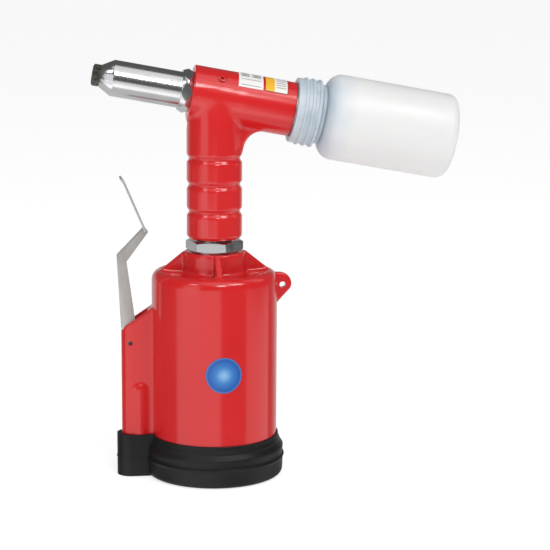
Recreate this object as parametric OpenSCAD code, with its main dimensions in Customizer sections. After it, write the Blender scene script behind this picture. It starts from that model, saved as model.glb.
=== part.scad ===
// Air-hydraulic rivet gun: an air cylinder in the foot drives a thin ram up into the grip,
// and the oil it pushes out drives a piston in the head that pulls the rivet's mandrel.
// Origin: centre of the boot's underside. +Z up, nose towards -X, bottle towards +X.

/* [Air cylinder] */
// Outer radius of the air cylinder
cyl_r = 40.15; // [39.9:0.05:40.4]
// Radius of the cylinder's bore
cyl_bore_r = 36.5; // [36.4:0.1:37]
// Height of the cylinder's flat top above the ground
cyl_top = 133; // [132.5:0.5:133.5]
// Thickness of the cylinder's top wall
cyl_top_t = 9; // [8.5:0.5:10]
// Radius of the shoulder round the top
shoulder_r = 6; // [4:0.5:8]
// Radius of the hub that carries the gland
hub_r = 19.8; // [19:0.1:20.5]
// Height of the hub's top face
hub_top = 145.1; // [144.9:0.1:145.2]
// Thickness of each gusset rib
rib_t = 4; // [3:0.5:6]

/* [Valve block] */
// Distance of the block's front from the cylinder axis
block_front = 59.9; // [59.5:0.1:60.5]
// Half the width of the block
block_half = 6.5; // [6.3:0.1:6.8]
// Distance of the valve's axis from the cylinder axis
valve_x = 46.6; // [46.4:0.1:46.8]
// Outer radius of the valve bulge
bulge_r = 8; // [7.8:0.1:8.6]
// Distance of the bulge's centre from the cylinder axis
bulge_x = 48.6; // [46.4:0.1:49]
// Half the width of the slot that holds the trigger
slot_half = 3.8; // [3.7:0.1:4.2]

/* [Boot] */
// Thickness of the boot's floor
boot_floor = 4; // [3:0.5:4]
// Height of the boot's lip
boot_top = 26.7; // [26:0.1:27]
// Greatest radius of the boot
boot_r = 45.1; // [45:0.1:46]

/* [Grip and barrel] */
// Radius of the grip
grip_r = 17.6; // [17.4:0.1:18]
// Height of the grip's lower edge
grip_bottom = 153.8; // [153.7:0.1:154.1]
// Radius of the oil bore up the grip
oil_r = 6; // [5.8:0.1:6.4]
// Height at which the barrel's axis crosses the grip's axis
head_z = 243.8; // [243.6:0.1:244.2]
// Downward tilt of the barrel towards the bottle, degrees
tilt = 10.3; // [9.5:0.1:10.8]
// Outer radius of the barrel
barrel_r = 17.2; // [17:0.1:17.6]
// Radius of the barrel's bore
barrel_bore_r = 12.5; // [12.4:0.1:12.8]
// Across-flats size of the large lock nut
nut_af = 32; // [31:0.5:33]

/* [Nose] */
// Outer radius of the nose housing
nose_r = 11.4; // [11.2:0.1:11.8]
// Radius of the nosepiece's mandrel bore
nose_bore_r = 1.6; // [1.3:0.1:1.7]
// Across-flats size of the nosepiece
nosepiece_af = 12; // [11:0.5:12.5]
// Across-flats size of the nose lock nut
nose_nut_af = 25.5; // [25:0.5:26]

/* [Pistons] */
// Radius of the oil ram
ram_r = 5.5; // [5:0.1:5.6]
// Travel of the air piston
ram_travel = 70; // [40:1:70]
// Radius of the head piston's rod
rod_r = 6; // [5.8:0.1:6.2]

/* [Bottle] */
// Greatest radius of the collection bottle
bottle_r = 27.2; // [26:0.1:28]
// Wall of the collection bottle
bottle_wall = 1.3; // [1:0.1:1.6]
// End of the bottle along the barrel's axis
bottle_end = 154; // [140:1:160]

/* [Trigger] */
// Distance of the trigger pin from the cylinder axis
pin_x = 54.4; // [54.2:0.1:54.6]
// Height of the trigger pin
pin_z = 87.1; // [86.8:0.1:87.4]
// Radius of the trigger pin
pin_r = 1.5; // [1.3:0.1:1.6]
// Width of the trigger's finger plate
finger_w = 15; // [10:0.5:18]

/* [Hidden] */
$fn = 64;
run = 0.05;         // radial clearance of a running fit
gap = 0.3;          // clearance between pieces that move past each other
over = 1;           // how far a cutter passes the face it cuts
chamber_top = cyl_top - cyl_top_t;
foot_z = boot_floor;
pad_r = cyl_r + 0.6;   // face on which the valve block meets the tube
circlip_z = 6;
circlip_t = 1.6;
lug_hole_x = 43.8;
lug_hole_z = 122.5;
lug_hole_r = 2;
cap_z = 8;          // underside of the bottom cap
cap_top = 18;
piston_z = 22;      // underside of the air piston at rest
piston_t = 16;
bumper_z = piston_z + piston_t + ram_travel + 0.5;
thread_r = 12;      // gland thread
gland_top = 168;
ram_top = 155;
valve_seat_z = 76;  // top of the valve's bore, floor of the trigger slot
plug_top = 16;
inlet_z = 45;
exhaust_z = 64;
stem_r = 1.6;
stem_top = 82;
foot_r = 1.7;       // rounded foot of the trigger above the stem
slope_z = 96.4;     // block height at its front edge
slope = 34;
block_back = 37.5;  // where the block ends, inside the cylinder's wall
// places along the barrel's axis, measured from the grip's axis
barrel_front = -15.3;
barrel_rear = 50.1;
nose_thread_end = -5;
bore_front = -1.5;
disc_front = 3;
disc_rear = 11;
rear_cap_front = 40;
nose_nut_front = -22.2;
housing_front = -72.9;
nosepiece_front = -77.6;
jaw_cone_front = -60;
jaw_cone_rear = -46;
jaw_cone_r = 4.2;
jaw_cone_deg = 10;
coupler_front = -34;
coupler_rear = -25;
tube_end = 62;
flange_end = 52.5;
spigot_end = 63;
spigot_r = 14;
neck_start = 56;
neck_r = 17.3;
shoulder_start = 69.5;

// ---- helpers ----

// Points of an arc about (x, y)
function arc(x, y, r, from, to, steps = 8) =
    [for (i = [0:steps]) [x + r * cos(from + (to - from) * i / steps), y + r * sin(from + (to - from) * i / steps)]];

// Plain ring between two radii
module ring(inner, outer, z, h) {
    translate([0, 0, z])
        difference() {
            cylinder(r = outer, h = h);
            translate([0, 0, -over]) cylinder(r = inner, h = h + 2 * over);
        }
}

// Hexagonal prism of a given size across its flats
module hexagon(af, z, h) {
    translate([0, 0, z]) cylinder(r = af / sqrt(3), h = h, $fn = 6);
}

// Hexagon with both ends chamfered on a cone
module chamfered_hexagon(af, z, h, cut = 0.8) {
    corner = af / sqrt(3);
    flat = af / 2 - 0.2;
    intersection() {
        hexagon(af, z, h);
        rotate_extrude()
            polygon([[0, z], [flat, z], [corner + 0.1, z + cut], [corner + 0.1, z + h - cut], [flat, z + h], [0, z + h]]);
    }
}

// Puts its children on the barrel's axis: their +Z runs from the nose to the bottle
module on_head() {
    translate([0, 0, head_z]) rotate([0, 90 + tilt, 0]) children();
}

// Puts its children on the valve's upright axis
module on_valve() {
    translate([-valve_x, 0, 0]) children();
}

// Puts its children on a sideways port of the valve block: their +Z points to +Y
module on_port(z) {
    translate([-valve_x, 0, z]) rotate([-90, 0, 0]) children();
}

// Round-wire coil spring along +Z, from z0 to z1 between the wire's centres
module coil(r, wire, z0, z1, turns) {
    steps = 20;
    sides = 8;
    count = turns * steps;
    rings = [for (i = [0:count]) let (a = 360 * i / steps, z = z0 + (z1 - z0) * i / count)
        for (j = [0:sides - 1]) let (b = 360 * j / sides)
            [(r + wire * cos(b)) * cos(a), (r + wire * cos(b)) * sin(a), z + wire * sin(b)]];
    skin = [for (i = [0:count - 1]) for (j = [0:sides - 1]) let (k = (j + 1) % sides)
        [i * sides + j, i * sides + k, (i + 1) * sides + k, (i + 1) * sides + j]];
    polyhedron(points = rings, faces = concat([for (f = skin) [f[3], f[2], f[1], f[0]]],
        [[for (j = [0:sides - 1]) j]], [[for (j = [sides - 1:-1:0]) count * sides + j]]), convexity = 10);
}

// Flat bar of width w from point a to point b
module bar(a, b, w) {
    d = b - a;
    translate(a) rotate(atan2(d[1], d[0])) translate([0, -w / 2]) square([norm(d), w]);
}

// ---- foot and air cylinder ----

module rubber_boot() {
    color("#262426") difference() {
        union() {
            rotate_extrude()
                polygon(concat([[0, 0]], arc(boot_r - 3.8, 3, 3, -90, 0), [[boot_r - 0.5, 12.2], [boot_r, 12.4],
                    [boot_r - 1.1, 15.9], [boot_r - 0.6, 18.5], [boot_r - 3.9, 24.5], [boot_r - 3.9, boot_top],
                    [0, boot_top]]));
            difference() {
                front_slab(block_front + 3.1, block_half + 2.2, 0, boot_top + 0.6);
                cylinder(r = cyl_r, h = 2 * boot_top);
            }
        }
        translate([0, 0, boot_floor]) cylinder(r = cyl_r, h = boot_top);
        block_column(boot_floor, boot_top);
        translate([-bulge_x, 0, boot_floor]) cylinder(r = bulge_r, h = boot_top);
    }
}

// Upright slab with a round front, from the given distance in front of the axis
module front_slab(front, half, z, h) {
    translate([0, 0, z]) {
        translate([-front + half, 0, 0]) cylinder(r = half, h = h);
        translate([-front + half, -half, 0]) cube([front - half - block_back, 2 * half, h]);
    }
}

module circlip() {
    color("dimgray") difference() {
        ring(cyl_bore_r - 3, cyl_bore_r + 1.2, circlip_z, circlip_t);
        translate([0, -4, 5]) cube([cyl_bore_r + 3, 8, 4]);
    }
}

module bottom_cap() {
    color("silver") difference() {
        rotate_extrude()
            polygon([[0, cap_z], [cyl_bore_r - 0.1, cap_z], [cyl_bore_r - 0.1, 12], [cyl_bore_r - 2.4, 12],
                [cyl_bore_r - 2.4, 14.8], [cyl_bore_r - 0.1, 14.8], [cyl_bore_r - 0.1, cap_top], [0, cap_top]]);
        translate([0, 0, cap_z - over]) cylinder(r = 24, h = 4 + over);
    }
}

module bottom_cap_seal() {
    color("black") ring(cyl_bore_r - 2.4, cyl_bore_r, 12.1, 2.6);
}

// The red casting is drawn as three nodes that meet face to face: the tube, its top and the
// valve block. The tube carries a low pad where the block stands.
module air_cylinder() {
    color("#dc2828") difference() {
        union() {
            translate([0, 0, foot_z]) cylinder(r = cyl_r, h = chamber_top - foot_z);
            intersection() {
                block_casting();
                cylinder(r = pad_r, h = cyl_top);
            }
        }
        // piston chamber and circlip groove
        translate([0, 0, foot_z - over]) cylinder(r = cyl_bore_r, h = cyl_top);
        translate([0, 0, circlip_z - 0.1]) cylinder(r = cyl_bore_r + 1.3, h = circlip_t + 0.2);
        valve_bores();
    }
}

module cylinder_top() {
    color("#dc2828") difference() {
        union() {
            rotate_extrude()
                polygon(concat([[0, chamber_top], [cyl_r, chamber_top]],
                    arc(cyl_r - shoulder_r, cyl_top - shoulder_r, shoulder_r, 0, 90),
                    [[hub_r, cyl_top], [hub_r, hub_top - 0.6], [hub_r - 0.6, hub_top], [0, hub_top]]));
            for (a = [0:90:270]) rotate([0, 0, a]) gusset();
            difference() {
                hanging_lug();
                cylinder(r = cyl_r, h = chamber_top);
            }
        }
        // gland thread
        translate([0, 0, chamber_top - over]) cylinder(r = thread_r, h = hub_top);
        translate([lug_hole_x, 0, lug_hole_z]) rotate([90, 0, 0]) cylinder(r = lug_hole_r, h = 20, center = true);
    }
}

module valve_block() {
    color("#dc2828") difference() {
        block_casting();
        cylinder(r = pad_r, h = cyl_top);
        valve_bores();
    }
}

module gusset() {
    rotate([90, 0, 0])
        translate([0, 0, -rib_t / 2])
            linear_extrude(rib_t)
                polygon([[hub_r - 2, cyl_top - 2], [35.2, cyl_top - 2], [35.2, cyl_top - 0.2],
                    [hub_r + 0.3, hub_top - 0.2], [hub_r - 2, hub_top - 0.2]]);
}

// Flat ear with a round outer end, tangent down to the cylinder's side
module hanging_lug() {
    rotate([90, 0, 0])
        translate([0, 0, -2.25])
            linear_extrude(4.5)
                polygon(concat([[38, 108], [cyl_r, 110.5]], arc(42.1, 122.9, 7.6, -18, 92, 12), [[38, 130.4]]));
}

// The valve block's plan, with concave blends into the cylinder
module block_column(z, h) {
    fillet_r = 4;
    fillet_y = block_half + fillet_r;
    fillet_x = sqrt((cyl_r + fillet_r) * (cyl_r + fillet_r) - fillet_y * fillet_y);
    touch = cyl_r / (cyl_r + fillet_r);
    front_slab(block_front, block_half, z, h);
    for (side = [-1, 1])
        difference() {
            translate([0, 0, z])
                linear_extrude(h)
                    polygon([[-fillet_x, 0], [-fillet_x, side * fillet_y],
                        [-fillet_x * touch, side * fillet_y * touch], [-block_back, 0]]);
            translate([-fillet_x, side * fillet_y, z - over]) cylinder(r = fillet_r, h = h + 2 * over);
        }
}

module block_casting() {
    difference() {
        block_column(foot_z + 0.3, 112);
        translate([-block_front, -20, slope_z]) rotate([0, -slope, 0]) cube([60, 40, 40]);
        translate([-block_front - 20, -20, slope_z]) cube([20, 40, 40]);
    }
    // round valve bulge with a domed top
    translate([-bulge_x, 0, foot_z + 0.3]) cylinder(r = bulge_r, h = exhaust_z - 8 - foot_z);
    translate([-bulge_x, 0, exhaust_z - 7.7]) sphere(r = bulge_r);
    // bosses of the inlet and the exhaust, on the far side
    on_port(inlet_z) cylinder(r = 9, h = 13);
    on_port(exhaust_z) cylinder(r = 7, h = 9);
}

// Trigger slot, valve bore, pin hole and ports
module valve_bores() {
    translate([-58, -slot_half, valve_seat_z]) cube([15, 2 * slot_half, 50]);
    translate([-70, -slot_half, slope_z - 1]) cube([20, 2 * slot_half, 50]);
    on_valve() translate([0, 0, -over]) cylinder(r = 5.6, h = plug_top + over);
    on_valve() translate([0, 0, plug_top - 0.1]) cylinder(r = 4.5, h = valve_seat_z - 6 - plug_top + 0.1);
    on_valve() translate([0, 0, valve_seat_z - 7]) cylinder(r = stem_r + 0.1, h = 10);
    translate([-pin_x, 0, pin_z]) rotate([90, 0, 0]) cylinder(r = pin_r, h = 30, center = true);
    on_port(inlet_z) cylinder(r = 3, h = 20);
    on_port(inlet_z) translate([0, 0, 6.8]) cylinder(r = 5, h = 10);
    on_port(exhaust_z) cylinder(r = 2.5, h = 20);
    on_port(exhaust_z) translate([0, 0, 5]) cylinder(r = 5, h = 10);
    // passage from the valve into the piston chamber
    translate([-valve_x, 0, 30]) rotate([0, 90, 0]) cylinder(r = 2.5, h = 14);
}

module bumper_ring() {
    color("#333333") ring(20, 30, bumper_z, chamber_top - bumper_z);
}

module connector_gland() {
    color("gainsboro") difference() {
        union() {
            translate([0, 0, chamber_top - 4]) cylinder(r = 16, h = 4);
            translate([0, 0, chamber_top]) cylinder(r = thread_r, h = gland_top - chamber_top);
        }
        cylinder(r = ram_r + 0.1, h = 200);
        translate([0, 0, chamber_top - 4 - over]) cylinder(r = 9, h = 6 + over);
        ring(10.2, 14, gland_top - 5, 2.4);
    }
}

module gland_seal() {
    color("black") ring(ram_r + run, 9, chamber_top - 3, 5);
}

module gland_o_ring() {
    color("black") ring(10.2, thread_r, gland_top - 4.9, 2.2);
}

module lock_washer() {
    color("silver") ring(thread_r, 15.4, hub_top, 0.7);
}

module handle_lock_nut() {
    color("gainsboro") difference() {
        rotate([0, 0, -13]) chamfered_hexagon(nut_af, hub_top + 0.7, 6.7);
        cylinder(r = thread_r, h = 200);
    }
}

// ---- grip, barrel and nose ----

module head_casting() {
    color("#dc2828") difference() {
        union() {
            difference() {
                grip_column();
                on_head() translate([0, 0, barrel_front - 40]) cylinder(r = 60, h = 40);
            }
            on_head() rotate_extrude()
                polygon([[0, barrel_front], [barrel_r - 0.8, barrel_front], [barrel_r, barrel_front + 0.8],
                    [barrel_r, barrel_rear - 0.8], [barrel_r - 0.8, barrel_rear], [0, barrel_rear]]);
            grip_web();
        }
        // nose thread, rod hole, rod seal seat and piston bore
        on_head() {
            translate([0, 0, barrel_front - over]) cylinder(r = 9.5, h = nose_thread_end - barrel_front + over);
            translate([0, 0, nose_thread_end - over]) cylinder(r = rod_r + 0.1, h = 10);
            translate([0, 0, bore_front - 2]) cylinder(r = 8.5, h = 3);
            translate([0, 0, bore_front]) cylinder(r = barrel_bore_r, h = 80);
            // bleed hole and the spot face of its screw
            rotate([0, 0, 45]) translate([0, 0, 1.5]) rotate([0, -90, 0]) {
                cylinder(r = 0.9, h = 20);
                translate([0, 0, 14]) cylinder(r = 1.5, h = 6);
                translate([0, 0, barrel_r - 0.7]) cylinder(r = 3, h = 6);
            }
        }
        // gland thread, oil bore and the port into the piston bore
        translate([0, 0, grip_bottom - over]) cylinder(r = thread_r, h = gland_top + 0.3 - grip_bottom + over);
        cylinder(r = oil_r, h = 228.5);
        translate([-1.3, 0, 227]) cylinder(r = 2.2, h = 10);
    }
}

// Upright grip, drawn in at the top so that it runs into the barrel's sides
module grip_column() {
    rotate_extrude()
        polygon(concat([[0, grip_bottom], [grip_r - 1.2, grip_bottom], [grip_r, grip_bottom + 2.4]],
            grip_groove(170.9), grip_groove(188), grip_groove(204.7),
            [[grip_r, head_z - 22], [barrel_r - 0.1, head_z - 10], [barrel_r - 0.1, head_z], [0, head_z]]));
}

// Shallow finger groove round the grip
function grip_groove(z) = arc(grip_r + 1.4, z, 2.8, 240, 120, 6);

// Web that blends the grip's back into the barrel's underside along a quarter of an ellipse
module grip_web() {
    web_half = 8;
    low = 207.8;
    quarter = [for (a = [0:10:90]) [28.6 - 11.2 * cos(a), low + 13.7 * sin(a)]];
    translate([0, web_half, 0])
        rotate([90, 0, 0])
            linear_extrude(2 * web_half)
                polygon(concat([[8, low]], quarter, [[28.6, 226], [8, 230]]));
}

module rod_seal() {
    color("black") on_head() ring(rod_r + run, 8.5, bore_front - 2, 2);
}

module nose_housing() {
    color("white") on_head() rotate_extrude()
        polygon([[4, housing_front], [6.9, housing_front], [nose_r - 0.1, -65.1], [nose_r, -64.6],
            [nose_r, nose_nut_front], [9.5, nose_nut_front], [9.5, nose_thread_end], [8.6, nose_thread_end],
            [8.6, -63.5], [4, -66]]);
}

module nose_lock_nut() {
    mid_r = 14;
    end_r = 12.6;
    color("white") on_head() difference() {
        intersection() {
            hexagon(nose_nut_af, nose_nut_front, barrel_front - nose_nut_front);
            rotate_extrude()
                polygon([[0, nose_nut_front], [end_r, nose_nut_front],
                    [mid_r, (nose_nut_front + barrel_front) / 2], [end_r, barrel_front], [0, barrel_front]]);
        }
        translate([0, 0, -30]) cylinder(r = 9.5, h = 30);
    }
}

module nosepiece() {
    color("#5a5850") on_head() difference() {
        union() {
            chamfered_hexagon(nosepiece_af, nosepiece_front, housing_front - nosepiece_front);
            translate([0, 0, housing_front]) cylinder(r = 4, h = 9.9);
            translate([0, 0, -63.1]) cylinder(r = 2.8, h = 4.1);
        }
        translate([0, 0, -80]) cylinder(r = nose_bore_r, h = 30);
    }
}

module rear_cap() {
    color("silver") on_head() difference() {
        rotate_extrude()
            polygon([[3.5, rear_cap_front], [barrel_bore_r, rear_cap_front], [barrel_bore_r, 43],
                [barrel_bore_r - 2, 43], [barrel_bore_r - 2, 45.4], [barrel_bore_r, 45.4],
                [barrel_bore_r, barrel_rear], [16.6, barrel_rear], [16.6, flange_end], [spigot_r, flange_end],
                [spigot_r, 53.4], [spigot_r - 1.8, 53.4], [spigot_r - 1.8, 55.6], [spigot_r, 55.6],
                [spigot_r, spigot_end - 1], [spigot_r - 1, spigot_end], [3.5, spigot_end]]);
        // hollow behind the tube's guide
        translate([0, 0, 52]) cylinder(r = 10, h = 20);
    }
}

module rear_cap_seal() {
    color("black") on_head() ring(barrel_bore_r - 2, barrel_bore_r, 43.1, 2.2);
}

module spigot_o_ring() {
    color("black") on_head() ring(spigot_r - 1.8, spigot_r + run, 53.5, 2);
}

module bleed_screw() {
    color("#c81e1e") on_head() rotate([0, 0, 45]) translate([0, 0, 1.5]) rotate([0, -90, 0])
        difference() {
            union() {
                translate([0, 0, 14.2]) cylinder(r = 1.5, h = 3);
                translate([0, 0, barrel_r - 0.3]) cylinder(r = 2.3, h = 1);
            }
            translate([0, 0, barrel_r - 0.8]) cylinder(r = 1.2, h = 3, $fn = 6);
        }
}

module bleed_washer() {
    color("#b87333") on_head() rotate([0, 0, 45]) translate([0, 0, 1.5]) rotate([0, -90, 0])
        ring(1.5, 2.6, barrel_r - 0.7, 0.4);
}

// Film stuck round the near side of the barrel, from level with the eye up to the top
module barrel_film(from, to) {
    on_head() translate([0, 0, from]) rotate([0, 0, 180]) rotate_extrude(angle = 56)
        translate([barrel_r, 0]) square([0.2, to - from]);
}

module rating_label() {
    color("white") barrel_film(12.1, 27.7);
}

module service_label() {
    color("orange") barrel_film(28.8, 43.6);
}

module cylinder_badge() {
    badge_r = 11.4;
    color("#2864c8") intersection() {
        ring(cyl_r, cyl_r + 0.3, 55, 40);
        translate([0, 0, 72.7]) rotate([90, 0, 2.6]) cylinder(r = badge_r, h = 60);
    }
}

// ---- intensifier ----

module air_piston() {
    skirt_r = cyl_bore_r - gap;
    color("silver") difference() {
        rotate_extrude()
            polygon([[4.1, piston_z], [skirt_r, piston_z], [skirt_r, piston_z + 5], [skirt_r - 3.2, piston_z + 5],
                [skirt_r - 3.2, piston_z + 10], [skirt_r, piston_z + 10], [skirt_r, piston_z + piston_t],
                [skirt_r - 6, piston_z + piston_t], [skirt_r - 8, piston_z + 9], [14, piston_z + 9],
                [12, piston_z + 14], [4.1, piston_z + 14]]);
        translate([0, 0, piston_z - over]) cylinder(r = 9, h = 5 + over);
        translate([0, 0, piston_z + 8]) cylinder(r = ram_r, h = 20);
    }
}

module air_piston_seal() {
    color("black") ring(cyl_bore_r - gap - 3.2, cyl_bore_r - run, piston_z + 5.1, 4.8);
}

module ram() {
    color("gainsboro") union() {
        translate([0, 0, piston_z + 0.6]) cylinder(r = 4.1, h = 10);
        translate([0, 0, piston_z + 8]) cylinder(r = ram_r, h = ram_top - 1 - piston_z - 8);
        translate([0, 0, ram_top - 1]) cylinder(r1 = ram_r, r2 = ram_r - 1, h = 1);
    }
}

module ram_nut() {
    color("silver") difference() {
        hexagon(13, piston_z + 0.4, 4.6);
        cylinder(r = 4.1, h = 100);
    }
}

// ---- head piston and jaws ----

module head_piston() {
    disc_r = barrel_bore_r - 0.1;
    color("gainsboro") on_head() difference() {
        union() {
            translate([0, 0, coupler_front + 3]) cylinder(r = 4.5, h = 10);
            translate([0, 0, coupler_rear]) cylinder(r = rod_r, h = disc_front - coupler_rear);
            rotate_extrude()
                polygon([[0, disc_front], [disc_r, disc_front], [disc_r, 5.6], [disc_r - 2, 5.6],
                    [disc_r - 2, 8.4], [disc_r, 8.4], [disc_r, disc_rear], [0, disc_rear]]);
        }
        translate([0, 0, -50]) cylinder(r = 2.3, h = 80);
        translate([0, 0, disc_rear - 3]) cylinder(r = 3.4, h = 10);
    }
}

module head_piston_seal() {
    color("black") on_head() ring(barrel_bore_r - 2.1, barrel_bore_r - run, 5.7, 2.6);
}

module mandrel_tube() {
    color("silver") on_head() ring(2.3, 3.4, disc_rear - 3, tube_end - disc_rear + 3);
}

module piston_coupler() {
    color("dimgray") on_head() difference() {
        union() {
            translate([0, 0, coupler_front]) cylinder(r = 6.7, h = 4);
            chamfered_hexagon(14, -30, 5, 0.5);
        }
        translate([0, 0, coupler_front - over]) cylinder(r = 2.4, h = 20);
        translate([0, 0, coupler_front + 3]) cylinder(r = 4.5, h = 20);
    }
}

module jaw_case() {
    rear_r = jaw_cone_r + (jaw_cone_rear - jaw_cone_front) * tan(jaw_cone_deg);
    color("dimgray") on_head() rotate_extrude()
        polygon([[jaw_cone_r, -61], [7.4, -61], [8.1, -60], [8.1, -30], [6.7, -30], [6.7, jaw_cone_rear],
            [rear_r, jaw_cone_rear], [jaw_cone_r, jaw_cone_front]]);
}

// One of the three jaws: a third of a cone with a gripping bore
module jaw(turn) {
    front = -58.6;
    rear = -47.6;
    front_r = jaw_cone_r + (front - jaw_cone_front) * tan(jaw_cone_deg) - gap;
    rear_r = jaw_cone_r + (rear - jaw_cone_front) * tan(jaw_cone_deg) - gap;
    color("gray") on_head() rotate([0, 0, turn]) intersection() {
        rotate_extrude()
            polygon([[2.6, front], [front_r, front], [rear_r, rear], [2.4, rear], [1.75, rear - 1.5], [1.75, front + 2]]);
        translate([0.6, 0, -70]) linear_extrude(40) polygon([[0, 0], [10, 17.3], [20, 0], [10, -17.3]]);
    }
}

module jaw_a() {
    jaw(60);
}

module jaw_b() {
    jaw(180);
}

module jaw_c() {
    jaw(300);
}

module jaw_pusher() {
    color("silver") on_head() rotate_extrude()
        polygon([[2, -47.3], [6.1, -47.3], [6.1, -45], [4.1, -45], [4.1, -37], [2, -37]]);
}

module jaw_spring() {
    color("gray") on_head() coil(5.3, 0.6, -44.3, -34.7, 4);
}

module return_spring() {
    color("gray") on_head() coil(8.8, 1.1, disc_rear + 1.2, rear_cap_front - 1.2, 4.5);
}

// ---- trigger valve ----

module valve_plug() {
    color("#c8aa50") on_valve() difference() {
        translate([0, 0, 6]) cylinder(r = 5.6, h = plug_top - 6);
        translate([0, 0, 5]) cylinder(r = 2.5, h = 4, $fn = 6);
        ring(4.2, 8, 12, 2.2);
    }
}

module valve_plug_seal() {
    color("black") on_valve() ring(4.2, 5.6, 12.1, 2);
}

module valve_spool() {
    color("silver") on_valve() rotate_extrude()
        polygon([[0, 27], [4.2, 27], [4.2, 29], [2.9, 29], [2.9, 31.4], [4.2, 31.4], [4.2, 33], [2.2, 33], [2.2, 56],
            [4.2, 56], [4.2, 57.6], [2.9, 57.6], [2.9, 60], [4.2, 60], [4.2, 62], [stem_r, 62], [stem_r, stem_top],
            [0, stem_top]]);
}

module valve_seals() {
    color("black") on_valve() {
        ring(2.9, 4.5 - run, 29.1, 2.2);
        ring(2.9, 4.5 - run, 57.7, 2.2);
    }
}

module valve_spring() {
    color("gray") on_valve() coil(3, 0.45, plug_top + 0.5, 26.5, 5);
}

module trigger_pin() {
    color("silver") translate([-pin_x, 0, pin_z]) rotate([90, 0, 0]) cylinder(r = pin_r, h = 10.4, center = true);
}

// Folded steel lever: two cheeks and a front web, with a curled plate for the fingers
module trigger_lever() {
    lever_half = 3.3;
    plate_t = 1.5;
    side = concat([[-44.7, 161.3], [-62.3, 142.9], [-59.8, 97.2], [-59.7, 95.9], [-pin_x - 3.3, 95.9]],
        arc(-pin_x, pin_z, 3.3, 180, 270),
        arc(-valve_x, stem_top + gap + foot_r, foot_r, 270, 450),
        [[-50.4, 89], [-51.3, 103.7], [-56.2, 139.5], [-42.4, 158.3]]);
    channel = [[-58.3, 97.2], [-60.8, 142.3], [-45.2, 158.6], [-38, 150], [-48, 100]];
    color("#c3beb9") difference() {
        union() {
            rotate([90, 0, 0]) translate([0, 0, -lever_half]) linear_extrude(2 * lever_half) polygon(side);
            finger_plate();
        }
        rotate([90, 0, 0]) translate([0, 0, -lever_half + plate_t])
            linear_extrude(2 * (lever_half - plate_t)) polygon(channel);
        translate([-pin_x, 0, pin_z]) rotate([90, 0, 0]) cylinder(r = pin_r + run, h = 20, center = true);
    }
}

// Thin plate across the top of the lever, curled outward at its tip
module finger_plate() {
    plate_t = 1.4;
    low = [-44.2, 158.9];
    high = [-56.9, 188.6];
    lip = [-59.6, 192.8];
    translate([0, finger_w / 2, 0]) rotate([90, 0, 0]) linear_extrude(finger_w) {
        bar(low, high, plate_t);
        bar(high - [-0.2, 0.4], lip, plate_t);
    }
}

// ---- ports ----

module inlet_bush() {
    color("#c8aa50") on_port(inlet_z) difference() {
        union() {
            translate([0, 0, 7]) cylinder(r = 5, h = 7);
            rotate([0, 0, 30]) chamfered_hexagon(17, 13.6, 13);
        }
        cylinder(r = 3, h = 40);
        translate([0, 0, 16.6]) cylinder(r = 5.9, h = 20);
    }
}

module inlet_washer() {
    color("#b87333") on_port(inlet_z) ring(5, 8, 13, 0.6);
}

module exhaust_silencer() {
    color("#b49650") on_port(exhaust_z) difference() {
        union() {
            translate([0, 0, 5]) cylinder(r = 5, h = 6);
            translate([0, 0, 9]) cylinder(r = 6.4, h = 2);
            translate([0, 0, 11]) cylinder(r = 5, h = 3);
            translate([0, 0, 14]) intersection() {
                sphere(r = 5);
                translate([-6, -6, 0]) cube([12, 12, 6]);
            }
        }
        cylinder(r = 2.5, h = 12);
    }
}

// ---- bottle ----

module bottle_collar() {
    ribs = 3;
    rib_pitch = 4.4;
    first_rib = 54.9;
    color("#b9c3cd") on_head() difference() {
        union() {
            translate([0, 0, barrel_rear + gap]) cylinder(r = 20.5, h = 15.6);
            for (i = [0:ribs - 1])
                translate([0, 0, first_rib + i * rib_pitch]) cylinder(r = 21.4 + 0.1 * i, h = 1.9);
        }
        translate([0, 0, barrel_rear]) cylinder(r = neck_r, h = 3);
        translate([0, 0, barrel_rear]) cylinder(r = spigot_r + 0.1, h = 20);
        translate([0, 0, neck_start]) cylinder(r = neck_r, h = 20);
    }
}

module collection_bottle() {
    shoulder = bottle_r - neck_r;
    inner = bottle_r - bottle_wall;
    neck_inner = neck_r - bottle_wall;
    color("#e8e6e4") on_head() rotate_extrude()
        polygon(concat([[neck_inner, neck_start], [neck_r, neck_start], [neck_r, 66.3], [18.7, 66.3], [18.7, 68.6],
                [neck_r, shoulder_start]],
            arc(neck_r, shoulder_start + shoulder, shoulder, -90, 0),
            arc(bottle_r - 6, bottle_end - 6, 6, 0, 90), [[0, bottle_end], [0, bottle_end - bottle_wall]],
            arc(bottle_r - 6, bottle_end - 6, 6 - bottle_wall, 90, 0),
            arc(neck_r, shoulder_start + shoulder, shoulder - bottle_wall, 0, -90),
            [[neck_inner, shoulder_start + bottle_wall]]));
}

rubber_boot();
circlip();
bottom_cap();
bottom_cap_seal();
air_cylinder();
cylinder_top();
valve_block();
bumper_ring();
connector_gland();
gland_seal();
gland_o_ring();
lock_washer();
handle_lock_nut();
head_casting();
rod_seal();
nose_housing();
nose_lock_nut();
nosepiece();
rear_cap();
rear_cap_seal();
spigot_o_ring();
bleed_screw();
bleed_washer();
rating_label();
service_label();
cylinder_badge();
valve_plug();
valve_plug_seal();
trigger_pin();
inlet_bush();
inlet_washer();
exhaust_silencer();
air_piston();
air_piston_seal();
ram();
ram_nut();
head_piston();
head_piston_seal();
mandrel_tube();
piston_coupler();
jaw_case();
jaw_a();
jaw_b();
jaw_c();
jaw_pusher();
jaw_spring();
return_spring();
valve_spool();
valve_seals();
valve_spring();
trigger_lever();
bottle_collar();
collection_bottle();
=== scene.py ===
import bpy
from math import cos, pi, radians, sin, sqrt
from mathutils import Matrix, Vector


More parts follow.
